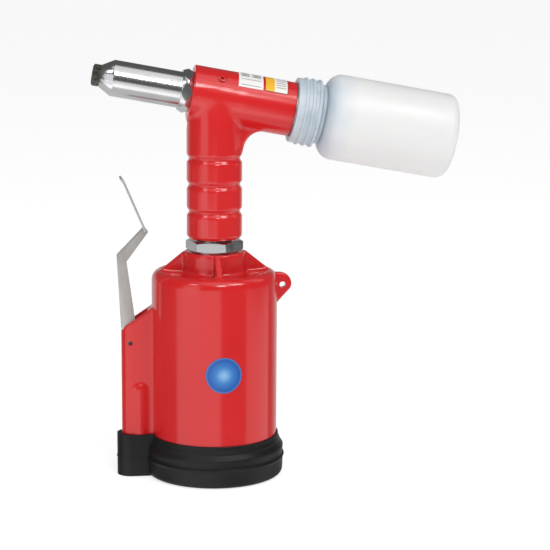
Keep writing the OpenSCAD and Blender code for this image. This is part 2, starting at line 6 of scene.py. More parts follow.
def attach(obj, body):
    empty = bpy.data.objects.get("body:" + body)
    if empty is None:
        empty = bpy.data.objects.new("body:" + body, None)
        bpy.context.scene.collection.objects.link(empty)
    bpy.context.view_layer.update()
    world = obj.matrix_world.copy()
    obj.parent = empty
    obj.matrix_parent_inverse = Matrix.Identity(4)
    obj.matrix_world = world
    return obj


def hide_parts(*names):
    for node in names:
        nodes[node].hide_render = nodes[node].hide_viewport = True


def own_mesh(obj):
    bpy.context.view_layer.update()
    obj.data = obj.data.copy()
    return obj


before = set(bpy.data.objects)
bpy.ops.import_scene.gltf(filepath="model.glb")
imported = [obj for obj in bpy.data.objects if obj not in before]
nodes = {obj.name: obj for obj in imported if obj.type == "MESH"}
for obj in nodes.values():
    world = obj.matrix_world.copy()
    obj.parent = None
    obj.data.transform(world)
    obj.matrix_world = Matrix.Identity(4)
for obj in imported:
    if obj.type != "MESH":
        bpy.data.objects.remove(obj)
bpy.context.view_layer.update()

# ---- Studio ----
# A pale floor in a white surround, with a soft key light on each side, a lamp in front and a panel
# overhead. The camera stands well back and a little to the left of the gun, looking slightly down.

camera_place = Vector((-0.12376, -1.17751, 0.35500))
camera_target = Vector((0.03912, 0, 0.12844))
camera_roll = radians(0.351)
light_target = Vector((0, 0, 0.13))

camera_data = bpy.data.cameras.new("camera")
camera_data.lens = 123.32
camera_data.sensor_width = 36
camera = bpy.data.objects.new("camera", camera_data)
bpy.context.scene.collection.objects.link(camera)
look = (camera_target - camera_place).to_track_quat("-Z", "Y").to_matrix().to_4x4()
camera.matrix_world = Matrix.Translation(camera_place) @ look @ Matrix.Rotation(camera_roll, 4, "Z")
bpy.context.scene.camera = camera
bpy.context.scene.view_settings.view_transform = "Standard"

bpy.ops.mesh.primitive_plane_add(size=60, location=(0, 0, -0.0003))
floor = bpy.context.active_object
floor.name = "studio_floor"
# the gloss on the gun shows the soft boxes down to their lower edges, past the floor
floor.visible_glossy = False
floor_paint = bpy.data.materials.new("floor_paint")
floor_paint.use_nodes = True
floor_shader = floor_paint.node_tree.nodes["Principled BSDF"]
floor_shader.inputs["Base Color"].default_value = (0.5, 0.5, 0.5, 1)
floor_shader.inputs["Roughness"].default_value = 0.8
floor_shader.inputs["Emission Color"].default_value = (1, 1, 1, 1)
floor_shader.inputs["Emission Strength"].default_value = 0.7
floor.data.materials.append(floor_paint)


def soft_box(name, bearing, distance, height, size, radiance, leaning=True):
    """A rectangular studio light on a bearing in degrees to the right of -Y, of even brightness."""
    data = bpy.data.lights.new(name, "AREA")
    data.shape = "RECTANGLE"
    data.size, data.size_y = size
    data.energy = radiance * pi * size[0] * size[1]
    box = bpy.data.objects.new(name, data)
    box.location = (distance * sin(radians(bearing)), -distance * cos(radians(bearing)), height)
    facing = light_target - box.location
    if not leaning:
        facing.z = 0
    box.rotation_euler = facing.to_track_quat("-Z", "Y").to_euler()
    box.visible_camera = False
    bpy.context.scene.collection.objects.link(box)


soft_box("right_key", 46, 1.0, 1.25, (0.5, 0.4), 7)
soft_box("left_key", -55, 1.0, 1.25, (0.32, 0.32), 4.5)
soft_box("front_lamp", 9, 1.05, 0.98, (0.3, 0.3), 11)
soft_box("overhead_panel", 3, 0.54, 1.53, (1.2, 1.25), 0.75)
soft_box("left_panel", -48, 1.3, 0.45, (0.72, 1.06), 0.8, False)
# low cards that only the gloss on the upright walls shows
soft_box("left_card", -36, 1.3, -0.78, (2.34, 1.5), 0.78, False)
soft_box("right_card", 82, 1.3, -0.50, (1.38, 0.7), 0.7, False)

# an even white surround for the floor and the shade, and a dark ceiling for the gloss
world = bpy.data.worlds.new("white_surround")
world.use_nodes = True
bpy.context.scene.world = world
surround = world.node_tree
sky = surround.nodes["Background"]
sky.inputs["Color"].default_value = (1, 1, 1, 1)
direction = surround.nodes.new("ShaderNodeTexCoord").outputs["Generated"]
split = surround.nodes.new("ShaderNodeSeparateXYZ")
surround.links.new(direction, split.inputs["Vector"])


def spread(value, start, end, low=0.0, high=1.0):
    """A value that runs from start to end, spread from low to high and held there beyond."""
    tree = value.id_data
    span = tree.nodes.new("ShaderNodeMapRange")
    for name, number in (("From Min", start), ("From Max", end), ("To Min", low), ("To Max", high)):
        span.inputs[name].default_value = number
    tree.links.new(value, span.inputs["Value"])
    return span.outputs["Result"]


def sums(how, first, second=None, third=None):
    """One step of arithmetic between a pattern and other patterns or numbers."""
    tree = first.id_data
    step = tree.nodes.new("ShaderNodeMath")
    step.operation = how
    for socket, value in zip(step.inputs, (first, second, third)):
        if isinstance(value, (int, float)):
            socket.default_value = value
        elif value is not None:
            tree.links.new(value, socket)
    return step.outputs["Value"]


behind = spread(split.outputs["Y"], 0.45, 0.85, 0.0, 0.62)
under_ceiling = spread(split.outputs["Z"], 0.05, 0.3, 1.0, 0.1)
below = spread(split.outputs["Z"], -0.6, -0.35, 0.6, 0.1)
gloss_room = sums("MAXIMUM", below, sums("MULTIPLY", behind, under_ceiling))
pick = surround.nodes.new("ShaderNodeMix")
ray = surround.nodes.new("ShaderNodeLightPath")
surround.links.new(ray.outputs["Is Glossy Ray"], pick.inputs["Factor"])
backdrop = spread(ray.outputs["Is Camera Ray"], 0, 1, 0.5, 0.97)
surround.links.new(backdrop, pick.inputs["A"])
surround.links.new(gloss_room, pick.inputs["B"])
surround.links.new(pick.outputs["Result"], sky.inputs["Strength"])

# ---- Rubber boot ----
# A moulded boot that is pulled over the foot of the air cylinder. A moulded band runs round it above
# a small step, and a deeper pocket on the nose side takes the foot of the valve block.

boot_lip_r = 0.0413
boot_inner_r = 0.0402
boot_floor = 0.004
boot_top = 0.0267
pocket_front = 0.063
pocket_half = 0.0087
# the valve block stands in the pocket, with the round bulge of its valve
block_front = 0.0599
block_half = 0.0065
bulge_r = 0.0080
bulge_x = -0.0486


def alone(piece):
    """Makes a piece the only one selected, for the step that follows."""
    bpy.ops.object.select_all(action="DESELECT")
    piece.select_set(True)
    bpy.context.view_layer.objects.active = piece


def finished(name, body, material, piece, angle, *replaced):
    """Names a finished piece, shades it smooth but for edges sharper than the angle, gives it its
    material and body, and lets it stand for its CAD nodes."""
    alone(piece)
    bpy.ops.object.shade_smooth_by_angle(angle=radians(angle))
    piece.name = name
    piece.data.name = name
    piece.data.materials.clear()
    piece.data.materials.append(material)
    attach(piece, body)
    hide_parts(*replaced)


def settle(piece):
    """Puts a piece's place, turn and size into its mesh."""
    alone(piece)
    bpy.ops.object.transform_apply(location=True, rotation=True, scale=True)
    return piece


def sealed(piece):
    """Ends the editing of a mesh: welds it, caps its open ends and turns its faces outward."""
    bpy.ops.mesh.select_all(action="SELECT")
    bpy.ops.mesh.remove_doubles(threshold=1e-6)
    bpy.ops.mesh.fill_holes(sides=0)
    bpy.ops.mesh.select_all(action="SELECT")
    bpy.ops.mesh.normals_make_consistent(inside=False)
    bpy.ops.object.mode_set(mode="OBJECT")
    return piece


def turned(stations, segments=128):
    """A piece turned about the upright axis: a ring is drawn on through each (radius, height) in turn.
    Where the last station is the first again the section is closed, or else both ends are capped."""
    radius, height = stations[0]
    bpy.ops.mesh.primitive_circle_add(vertices=segments, radius=radius, location=(0, 0, height))
    piece = settle(bpy.context.active_object)
    bpy.ops.object.mode_set(mode="EDIT")
    bpy.ops.mesh.select_all(action="SELECT")
    for next_radius, next_height in stations[1:]:
        bpy.ops.mesh.extrude_region_move(TRANSFORM_OT_translate={"value": (0, 0, next_height - height)})
        ratio = next_radius / radius
        bpy.ops.transform.resize(value=(ratio, ratio, 1), center_override=(0, 0, next_height))
        radius, height = next_radius, next_height
    return sealed(piece)


def arc(x, z, radius, start, end, steps=8):
    """Stations on a quarter or other arc about (x, z), angles in degrees."""
    turns = [radians(start + (end - start) * i / steps) for i in range(steps + 1)]
    return [(x + radius * cos(a), z + radius * sin(a)) for a in turns]


def hoop(inner, outer, low, high, segments):
    """A plain ring about the upright axis, between two radii and two heights."""
    return turned([(inner, low), (outer, low), (outer, high), (inner, high), (inner, low)], segments)


def apply_last(piece):
    """Applies the modifier that was added last."""
    alone(piece)
    bpy.ops.object.modifier_apply(modifier=piece.modifiers[-1].name)
    return piece


def combined(piece, other, how="UNION"):
    """Unites, cuts or intersects a piece with another, which is used up."""
    join = piece.modifiers.new("combine", "BOOLEAN")
    join.operation = how
    join.solver = "EXACT"
    join.object = other
    apply_last(piece)
    bpy.data.objects.remove(other)
    return piece


def cut(piece, other):
    """Cuts another piece, which is used up, out of a piece."""
    return combined(piece, other, "DIFFERENCE")


def eased(piece, width, segments=2, angle=30):
    """Rounds a piece's sharp edges."""
    round_over = piece.modifiers.new("ease", "BEVEL")
    round_over.width = width
    round_over.segments = segments
    round_over.limit_method = "ANGLE"
    round_over.angle_limit = radians(angle)
    round_over.use_clamp_overlap = True
    apply_last(piece)
    return piece


def block(low, high):
    """A box between two corners."""
    low, high = Vector(low), Vector(high)
    bpy.ops.mesh.primitive_cube_add(size=1, location=(low + high) / 2)
    piece = bpy.context.active_object
    piece.scale = high - low
    return settle(piece)


def round_bar(start, end, radius, segments=64):
    """A round bar between two points."""
    start, end = Vector(start), Vector(end)
    bpy.ops.mesh.primitive_cylinder_add(vertices=segments, radius=radius, depth=(end - start).length)
    piece = bpy.context.active_object
    piece.location = (start + end) / 2
    piece.rotation_euler = (end - start).to_track_quat("Z", "Y").to_euler()
    return settle(piece)


def front_slab(front, half, low, high):
    """An upright slab from the cylinder forward, with a full-round front."""
    slab = block((half - front, -half, low), (-0.038, half, high))
    nose = round_bar((half - front, 0, low), (half - front, 0, high), half, 96)
    return combined(slab, nose)


def finish(name, color, metallic=0.0, roughness=0.5, more={}):
    """A new material, its shader, and the Object coordinates that its patterns read."""
    material = bpy.data.materials.new(name)
    material.use_nodes = True
    tree = material.node_tree
    shader = tree.nodes["Principled BSDF"]
    even = {"Base Color": (*color, 1), "Metallic": metallic, "Roughness": roughness}
    for socket, value in {**even, **more}.items():
        shader.inputs[socket].default_value = value
    return material, shader, tree.nodes.new("ShaderNodeTexCoord").outputs["Object"]


def grain(place, size, detail=3.0, turn=(0, 0, 0)):
    """Noise with features of a size in metres, the same all round or one each for X, Y and Z of the
    turned pattern."""
    tree = place.id_data
    mapping = tree.nodes.new("ShaderNodeMapping")
    mapping.vector_type = "TEXTURE"
    mapping.inputs["Scale"].default_value = (size, size, size) if isinstance(size, float) else size
    mapping.inputs["Rotation"].default_value = turn
    noise = tree.nodes.new("ShaderNodeTexNoise")
    noise.inputs["Scale"].default_value = 1
    noise.inputs["Detail"].default_value = detail
    tree.links.new(place, mapping.inputs["Vector"])
    tree.links.new(mapping.outputs["Vector"], noise.inputs["Vector"])
    return noise.outputs["Fac"]


def vary(shader, value, low, high, start=0.3, end=0.7):
    """Lets the roughness follow a pattern, from low to high."""
    shader.id_data.links.new(spread(value, start, end, low, high), shader.inputs["Roughness"])


def tint(shader, value, colors):
    """Lets the colour follow a pattern, through (place, colour) stops."""
    tree = shader.id_data
    ramp = tree.nodes.new("ShaderNodeValToRGB")
    stops = ramp.color_ramp.elements
    while len(stops) < len(colors):
        stops.new(0.5)
    for stop, (at, color) in zip(stops, colors):
        stop.position = at
        stop.color = (*color, 1)
    tree.links.new(value, ramp.inputs["Fac"])
    tree.links.new(ramp.outputs["Color"], shader.inputs["Base Color"])


def relief(shader, height, depth):
    """Adds fine relief of the given depth, in metres, under any that is there already."""
    tree = shader.id_data
    bump = tree.nodes.new("ShaderNodeBump")
    bump.inputs["Strength"].default_value = 1.0
    bump.inputs["Distance"].default_value = depth
    tree.links.new(height, bump.inputs["Height"])
    if shader.inputs["Normal"].links:
        tree.links.new(shader.inputs["Normal"].links[0].from_socket, bump.inputs["Normal"])
    tree.links.new(bump.outputs["Normal"], shader.inputs["Normal"])


def worn(shader, place, color, radius, amount=0.6):
    """Lets another colour show along a piece's edges, where it is rubbed."""
    tree = shader.id_data
    rounded = tree.nodes.new("ShaderNodeBevel")
    rounded.samples = 4
    rounded.inputs["Radius"].default_value = radius
    compare = tree.nodes.new("ShaderNodeVectorMath")
    compare.operation = "DOT_PRODUCT"
    tree.links.new(rounded.outputs["Normal"], compare.inputs[0])
    tree.links.new(tree.nodes.new("ShaderNodeNewGeometry").outputs["Normal"], compare.inputs[1])
    edge = spread(compare.outputs["Value"], 0.995, 0.90, 0.0, amount)
    broken = sums("MULTIPLY", edge, grain(place, 0.002, 3))
    mix = tree.nodes.new("ShaderNodeMix")
    mix.data_type = "RGBA"
    first, second = [socket for socket in mix.inputs if socket.type == "RGBA"]
    tree.links.new(broken, mix.inputs["Factor"])
    tree.links.new(shader.inputs["Base Color"].links[0].from_socket, first)
    second.default_value = (*color, 1)
    result = [socket for socket in mix.outputs if socket.type == "RGBA"][0]
    tree.links.new(result, shader.inputs["Base Color"])


def boot_rubber():
    """Black moulded rubber: satin, with a fine spark-eroded grain and faint dusty bloom."""
    black = (0.0095, 0.0088, 0.0092)
    material, shader, place = finish("boot_rubber", black, roughness=0.46, more={"Specular IOR Level": 0.32})
    bloom = grain(place, (0.03, 0.03, 0.012), 4)
    tint(shader, bloom, [(0.35, black), (0.75, (0.013, 0.012, 0.0125))])
    vary(shader, bloom, 0.38, 0.52)
    worn(shader, place, (0.04, 0.038, 0.037), 0.0006)
    relief(shader, grain(place, 0.0007, 2), 0.00003)
    return material


boot = turned([
    (0.0400, 0), *arc(0.0412, 0.0030, 0.0030, -90, 0, 6), (0.0445, 0.0100),
    *arc(0.0446, 0.0120, 0.0006, -60, 90, 5), (0.0441, 0.0128), (0.0439, 0.0133), (0.0440, 0.0150),
    (0.0442, 0.0154), (0.0444, 0.0162), *arc(0.0438, 0.0182, 0.0007, 0, 60, 3), (0.0428, 0.0210),
    (0.0424, 0.0214), (0.0424, 0.0220), (0.0422, 0.0226), (0.04145, 0.0243),
    (boot_lip_r, 0.0250), *arc(boot_lip_r - 0.0005, boot_top - 0.0005, 0.0005, 0, 90, 4),
], 160)
pocket = front_slab(pocket_front, pocket_half, 0, boot_top + 0.0006)
eased(pocket, 0.0014, 4)
pocket_band = front_slab(pocket_front + 0.0003, pocket_half + 0.0003, 0.0118, 0.0124)
combined(pocket, pocket_band)
combined(boot, pocket)
hollow = round_bar((0, 0, boot_floor), (0, 0, 0.05), boot_inner_r, 160)
combined(hollow, front_slab(block_front, block_half, boot_floor, 0.05))
combined(hollow, round_bar((bulge_x, 0, boot_floor), (bulge_x, 0, 0.05), bulge_r))
cut(boot, hollow)
# moulded rings on the underside, which keep the boot from slipping
for ring_r in (0.012, 0.024, 0.036):
    cut(boot, hoop(ring_r - 0.001, ring_r + 0.001, -0.001, 0.0006, 96))
finished("boot_rubber_moulding", "gun", boot_rubber(), boot, 32, "rubber_boot")

# ---- Air cylinder casting ----
# One aluminium casting in gloss red enamel: the barrel of the air motor with its shoulder, hub and
# ribs, the hanging ear, and the valve block. Its corners are soft from the mould and the paint.

cylinder_r = 0.04015
cylinder_top = 0.133
shoulder_r = 0.006
hub_r = 0.0198
hub_top = 0.1451
rib_t = 0.004
block_foot = 0.0043
slope_z = 0.0964
slot_half = 0.0038
ear_x = 0.0438
ear_z = 0.1225
chamber_r = 0.0365
thread_r = 0.012
valve_x = -0.0466
inlet_z = 0.045
exhaust_z = 0.064
port_r = 0.005
pin_x = -0.0544
pin_z = 0.0871
pin_r = 0.0015


def prism(outline, low, high):
    """An upright prism: its outline is drawn point by point in X and Y and raised from low to high."""
    bpy.ops.mesh.primitive_plane_add(size=0.001, location=(0, 0, 0))
    piece = bpy.context.active_object
    bpy.ops.object.mode_set(mode="EDIT")
    bpy.ops.mesh.select_all(action="SELECT")
    bpy.ops.mesh.merge(type="CENTER")
    x, y = outline[0]
    bpy.ops.transform.translate(value=(x, y, low))
    for next_x, next_y in outline[1:]:
        bpy.ops.mesh.extrude_vertices_move(TRANSFORM_OT_translate={"value": (next_x - x, next_y - y, 0)})
        x, y = next_x, next_y
    bpy.ops.mesh.select_all(action="SELECT")
    bpy.ops.mesh.edge_face_add()
    bpy.ops.mesh.extrude_region_move(TRANSFORM_OT_translate={"value": (0, 0, high - low)})
    return sealed(piece)


def plate(outline, thickness):
    """A flat plate whose outline is given in X and Z, with its thickness about Y = 0."""
    piece = prism(outline, -thickness / 2, thickness / 2)
    piece.rotation_euler = (pi / 2, 0, 0)
    return settle(piece)


def copied(piece):
    """A copy of a piece with its own mesh."""
    twin = piece.copy()
    twin.data = piece.data.copy()
    bpy.context.scene.collection.objects.link(twin)
    return twin


def shares(piece, weight):
    """A vertex group that holds weight(point) for each point of a piece."""
    group = piece.vertex_groups.new(name="share")
    for vertex in piece.data.vertices:
        group.add([vertex.index], weight(vertex.co), "REPLACE")
    return group.name


def softened(piece, rounds, weight=None):
    """Evens a skin out, everywhere or as much as weight(point) says for each point."""
    soften = piece.modifiers.new("soften", "SMOOTH")
    soften.factor = 0.5
    soften.iterations = rounds
    if weight:
        soften.vertex_group = shares(piece, weight)
    return apply_last(piece)


def cast(piece, voxel, rounds):
    """Melts a built-up shape into one skin, as a casting is, and softens its corners."""
    melt = piece.modifiers.new("melt", "REMESH")
    melt.mode = "VOXEL"
    melt.voxel_size = voxel
    apply_last(piece)
    return softened(piece, rounds)


def drawn_to(piece, shape, weight):
    """Draws the skin back onto a true shape, which is used up, as much as weight(point) says."""
    wrap = piece.modifiers.new("wrap", "SHRINKWRAP")
    wrap.target = shape
    wrap.wrap_method = "NEAREST_SURFACEPOINT"
    wrap.vertex_group = shares(piece, weight)
    apply_last(piece)
    piece.vertex_groups.clear()
    bpy.data.objects.remove(shape)


def ramp(value, low, high):
    """0 below low, 1 above high, and smooth between them."""
    share = min(1.0, max(0.0, (value - low) / (high - low)))
    return share * share * (3 - 2 * share)


def red_enamel():
    """Gloss red enamel over cast aluminium, with a trace of orange peel and polished high spots."""
    red = (0.62, 0.008, 0.010)
    material, shader, place = finish("red_enamel", red, roughness=0.25,
                                     more={"Coat Weight": 0.7, "Coat Roughness": 0.12})
    cloud = grain(place, 0.05, 2)
    tint(shader, cloud, [(0.0, (0.57, 0.006, 0.008)), (1.0, (0.67, 0.010, 0.012))])
    vary(shader, cloud, 0.18, 0.32, 0.0, 1.0)
    worn(shader, place, (0.72, 0.08, 0.08), 0.0005, 0.4)
    relief(shader, grain(place, 0.004, 2), 0.000005)
    return material


enamel = red_enamel()
true_cylinder = turned([
    (cylinder_r, 0.004), *arc(cylinder_r - shoulder_r, cylinder_top - shoulder_r, shoulder_r, 0, 90, 10),
    (0.0335, cylinder_top), (0.0326, cylinder_top - 0.0005), (0.0230, cylinder_top - 0.0012),
    *arc(hub_r + 0.002, cylinder_top + 0.0008, 0.002, 270, 180, 4), (hub_r, hub_top - 0.0008),
    (hub_r - 0.0007, hub_top),
], 192)
rough = copied(true_cylinder)
for quarter in range(4):
    rib = plate([(hub_r - 0.002, 0.130), (0.0352, 0.130), (0.0352, cylinder_top - 0.0002),
                 (hub_r + 0.0003, hub_top - 0.0002), (hub_r - 0.002, hub_top - 0.0002)], rib_t)
    rib.rotation_euler = (0, 0, quarter * pi / 2)
    combined(rough, settle(rib))
ear_line = [(0.038, 0.108), (cylinder_r, 0.1105), *arc(0.0421, 0.1229, 0.0076, -18, 92, 12), (0.038, 0.1304)]
combined(rough, plate(ear_line, 0.0045))
valve_block = front_slab(block_front, block_half, block_foot, 0.1123)
slope = block((0, -0.02, 0), (0.06, 0.02, 0.04))
slope.rotation_euler = (0, -radians(34), 0)
slope.location = (-block_front, 0, slope_z)
cut(valve_block, settle(slope))
combined(rough, valve_block)
bulge_top = (bulge_x, 0, 0.0563)
combined(rough, round_bar((bulge_x, 0, block_foot), bulge_top, bulge_r, 96))
bpy.ops.mesh.primitive_uv_sphere_add(segments=64, ring_count=32, radius=bulge_r, location=bulge_top)
combined(rough, settle(bpy.context.active_object))
combined(rough, round_bar((valve_x, 0, inlet_z), (valve_x, 0.013, inlet_z), 0.009))
combined(rough, round_bar((valve_x, 0, exhaust_z), (valve_x, 0.009, exhaust_z), 0.007))
# the slot that the trigger swings in, open to the front above the front wall
cut(rough, block((-0.058, -slot_half, 0.076), (-0.043, slot_half, 0.13)))
cut(rough, block((-0.075, -slot_half, slope_z - 0.001), (-0.050, slot_half, 0.13)))
cast(rough, 0.0008, 3)


def on_round_wall(point):
    """1 on the plain round wall of the cylinder and 0 at the block, the ear and the ribs."""
    across = sqrt(point.x ** 2 + point.y ** 2)
    from_block = ramp(point.x, -0.0372, -0.0345) if point.z < 0.118 else 1.0
    from_ear = 1 - (ramp(point.x, 0.0385, 0.0395) if point.z > 0.105 else 0.0)
    plain = 1.0 if across > 0.037 and point.z < 0.1325 else 0.0
    return plain * from_block * from_ear


drawn_to(rough, true_cylinder, on_round_wall)
# the machined bores: piston chamber, gland thread, hanging hole, pin hole, valve bore and ports
for start, end, radius, segments in (
        ((0, 0, -0.001), (0, 0, 0.124), chamber_r, 128),
        ((0, 0, 0.120), (0, 0, 0.150), thread_r, 96),
        ((ear_x, -0.01, ear_z), (ear_x, 0.01, ear_z), 0.002, 48),
        ((pin_x, -0.02, pin_z), (pin_x, 0.02, pin_z), pin_r, 48),
        ((valve_x, 0, 0), (valve_x, 0, 0.0695), 0.0045, 64),
        ((valve_x, 0, 0), (valve_x, 0, 0.016), 0.0056, 64),
        ((valve_x, 0, 0.069), (valve_x, 0, 0.080), 0.0017, 64),
        ((valve_x, 0.0068, inlet_z), (valve_x, 0.02, inlet_z), port_r, 64),
        ((valve_x, 0.005, exhaust_z), (valve_x, 0.02, exhaust_z), port_r, 64)):
    cut(rough, round_bar(start, end, radius, segments))
finished("cylinder_casting", "gun", enamel, rough, 40, "air_cylinder", "cylinder_top", "valve_block")

# ---- Closures of the foot ----
# A turned aluminium cap closes the air cylinder from below. A spring-steel circlip holds it, and a
# black seal in its groove keeps the air in.


def seal_rubber():
    """Black nitrile rubber with a matt moulded skin."""
    material, shader, place = finish("seal_rubber", (0.02, 0.02, 0.021), roughness=0.62)
    bloom = grain(place, 0.006, 3)
    tint(shader, bloom, [(0.3, (0.016, 0.016, 0.017)), (0.7, (0.032, 0.031, 0.031))])
    vary(shader, bloom, 0.5, 0.72)
    relief(shader, grain(place, 0.0004, 2), 0.00002)
    return material


def turned_metal(name, color, roughness, turn=(0, 0, 0), pitch=0.0003, depth=0.000008, metallic=1.0):
    """Metal turned on a lathe: fine rings along the turned Z axis, and faint handling stains."""
    material, shader, place = finish(name, color, metallic, roughness)
    rings = grain(place, (0.2, 0.2, pitch), 3, turn)
    stain = grain(place, 0.009, 4, turn)
    darker = tuple(0.8 * value for value in color)
    tint(shader, stain, [(0.32, darker), (0.6, color)])
    vary(shader, rings, roughness * 0.8, roughness * 1.35)
    relief(shader, rings, depth)
    return material


def dressed(material, *names):
    """Gives CAD nodes their material."""
    for name in names:
        for slot in nodes[name].material_slots:
            slot.material = material


head_turn = (0, radians(100.3), 0)
nitrile = seal_rubber()
aluminium = turned_metal("turned_aluminium", (0.72, 0.73, 0.74), 0.3, pitch=0.0005)
head_aluminium = turned_metal("turned_aluminium_head", (0.72, 0.73, 0.74), 0.3, head_turn, 0.0005)
spring_steel = turned_metal("spring_steel", (0.36, 0.35, 0.34), 0.36, pitch=0.0008)
dressed(aluminium, "bottom_cap", "air_piston")
dressed(nitrile, "bottom_cap_seal", "bumper_ring", "air_piston_seal", "valve_plug_seal", "valve_seals")
dressed(spring_steel, "circlip")

# ---- Ram and gland ----
# The hardened ram is bolted to the air piston by a nut. The threaded steel gland joins the air
# cylinder to the grip; a thin washer and the big zinc-plated lock nut clamp the two together.

nut_af = 0.032
nut_low = 0.1458
nut_high = 0.1525
nut_turn = radians(-13)


def hexagon(across, low, high, turn=0.0):
    """An upright hexagonal prism."""
    bpy.ops.mesh.primitive_cylinder_add(vertices=6, radius=across / sqrt(3), depth=high - low,
                                        location=(0, 0, (low + high) / 2), rotation=(0, 0, pi / 6 + turn))
    return settle(bpy.context.active_object)


def plated_steel(name, turn=(0, 0, 0)):
    """Bright zinc plating: silvery with a faint cool bloom, and rubbed brighter on the edges."""
    material, shader, place = finish(name, (0.7, 0.71, 0.72), 1.0, 0.16)
    bloom = grain(place, 0.006, 3, turn)
    tint(shader, bloom, [(0.3, (0.62, 0.63, 0.65)), (0.65, (0.74, 0.75, 0.755))])
    vary(shader, bloom, 0.12, 0.2)
    worn(shader, place, (0.9, 0.9, 0.9), 0.0003)
    relief(shader, grain(place, (0.1, 0.1, 0.0003), 3, turn), 0.000003)
    return material


zinc = plated_steel("plated_steel")
head_zinc = plated_steel("plated_steel_head", head_turn)
gland = turned([
    (0.0056, 0.126), (0.009, 0.126), (0.009, 0.120), (0.016, 0.120), (0.016, 0.124), (thread_r, 0.124),
    *[(thread_r - 0.0006 * (step % 2), 0.1262 + 0.0006 * step) for step in range(60)],
    (thread_r, 0.1627), (0.0102, 0.1631), (0.0102, 0.1653), (thread_r, 0.1655), (thread_r, 0.1675),
    (thread_r - 0.0005, 0.168), (0.0056, 0.168), (0.0056, 0.126),
], 96)
finished("gland_steel", "gun", zinc, gland, 25, "connector_gland")
washer = turned([(thread_r + 0.0001, hub_top), (0.0152, hub_top), (0.0154, hub_top + 0.0002),
                 (0.0154, hub_top + 0.0005), (0.0152, hub_top + 0.0007),
                 (thread_r + 0.0001, hub_top + 0.0007), (thread_r + 0.0001, hub_top)], 96)
finished("lock_washer_steel", "gun", zinc, washer, 35, "lock_washer")
lock_nut = hexagon(nut_af, nut_low, nut_high, nut_turn)
nut_corner = nut_af / sqrt(3) + 0.0001
nut_face = nut_af / 2 - 0.0002
nut_cone = turned([(0.0001, nut_low), (nut_face, nut_low), (nut_corner, nut_low + 0.0009),
                   (nut_corner, nut_high - 0.0009), (nut_face, nut_high), (0.0001, nut_high)], 96)
combined(lock_nut, nut_cone, "INTERSECT")
cut(lock_nut, round_bar((0, 0, 0.14), (0, 0, 0.16), thread_r + 0.0001, 96))
eased(lock_nut, 0.00025, 2, 20)
finished("handle_lock_nut_steel", "gun", zinc, lock_nut, 16, "handle_lock_nut")
dressed(zinc, "ram", "ram_nut", "valve_spool")
dressed(nitrile, "gland_seal", "gland_o_ring")

# ---- Grip and barrel casting ----
# A second red enamelled casting: the round grip with three shallow finger grooves, and the barrel of
# the pulling head across its top, blended into it with soft fillets. The ends are machined.

grip_r = 0.0176
grip_low = 0.1538
head_z = 0.2438
tilt = radians(10.3)
barrel_r = 0.0172
barrel_front = -0.0153
barrel_rear = 0.0501
groove_heights = (0.1709, 0.188, 0.2047)
groove_depth = 0.0014
groove_half = 0.0031
pull_axis = Vector((cos(tilt), 0, -sin(tilt)))


def on_barrel(piece):
    """Moves a piece that was made upright onto the barrel's axis."""
    piece.rotation_euler = (0, pi / 2 + tilt, 0)
    piece.location = (0, 0, head_z)
    return settle(piece)


grip_line = [(grip_r - 0.0012, grip_low), *arc(grip_r - 0.0014, grip_low + 0.0022, 0.0014, -50, 0, 5)]
for groove in groove_heights:
    for step in range(-10, 11):
        share = step / 10
        depth = groove_depth * (0.5 + 0.5 * cos(pi * share))
        grip_line.append((grip_r - depth, groove + groove_half * share))
grip_line += [(grip_r, head_z - 0.022), (barrel_r - 0.0001, head_z - 0.010), (barrel_r - 0.0001, head_z)]
true_head = turned(grip_line, 192)
barrel = on_barrel(turned([(barrel_r, barrel_front - 0.004), (barrel_r, barrel_rear + 0.004)], 192))
combined(true_head, barrel)
web_line = [(0.0286 - 0.0112 * cos(radians(a)), 0.2078 + 0.0137 * sin(radians(a))) for a in range(0, 91, 10)]
web = plate([(0.008, 0.2078), *web_line, (0.030, 0.2225), (0.030, 0.226), (0.008, 0.230)], 0.016)
melted = copied(true_head)
combined(melted, web)
cast(melted, 0.0007, 3)


def away_from_joint(point):
    """0 where the barrel meets the grip and its web, and 1 on the plain round surfaces."""
    off_grip = abs(sqrt(point.x ** 2 + point.y ** 2) - grip_r)
    along = (point - Vector((0, 0, head_z))).dot(pull_axis)
    across = point - Vector((0, 0, head_z)) - along * pull_axis
    off_barrel = abs(across.length - barrel_r)
    if point.z > head_z + 0.006 or point.z < 0.2075:
        return 1.0
    in_web = 1.0 if point.x > 0.009 and abs(point.y) < 0.013 and across.length > barrel_r - 0.001 else 0.0
    if in_web and point.z < 0.236:
        return ramp(max(off_barrel, abs(point.y) - 0.008), 0.004, 0.009) if along > 0.026 else 0.0
    return ramp(max(off_grip, off_barrel), 0.0035, 0.0075)


softened(melted, 60, lambda point: 1 - away_from_joint(point))
drawn_to(melted, true_head, away_from_joint)
# the machined ends, with their small rounded rims
ends = on_barrel(turned([
    (0.001, barrel_front), (barrel_r - 0.0008, barrel_front),
    *arc(barrel_r - 0.0008, barrel_front + 0.0009, 0.0009, -80, 0, 5),
    (barrel_r + 0.0006, barrel_front + 0.0007),
    (0.0190, barrel_front + 0.0002), (0.12, barrel_front - 0.002), (0.12, barrel_rear - 0.0012),
    *arc(barrel_r - 0.0008, barrel_rear - 0.0009, 0.0009, 0, 80, 5), (barrel_r - 0.0008, barrel_rear),
    (0.001, barrel_rear)], 128))
combined(melted, ends, "INTERSECT")
bores = on_barrel(turned([
    (0.0095, -0.030), (0.0095, -0.005), (0.0061, -0.005), (0.0061, -0.0035), (0.0085, -0.0035),
    (0.0085, -0.0015), (0.0125, -0.0015), (0.0125, 0.060)], 96))
combined(bores, turned([(thread_r, 0.15), (thread_r, 0.1683), (0.006, 0.1683), (0.006, 0.2285)], 96))
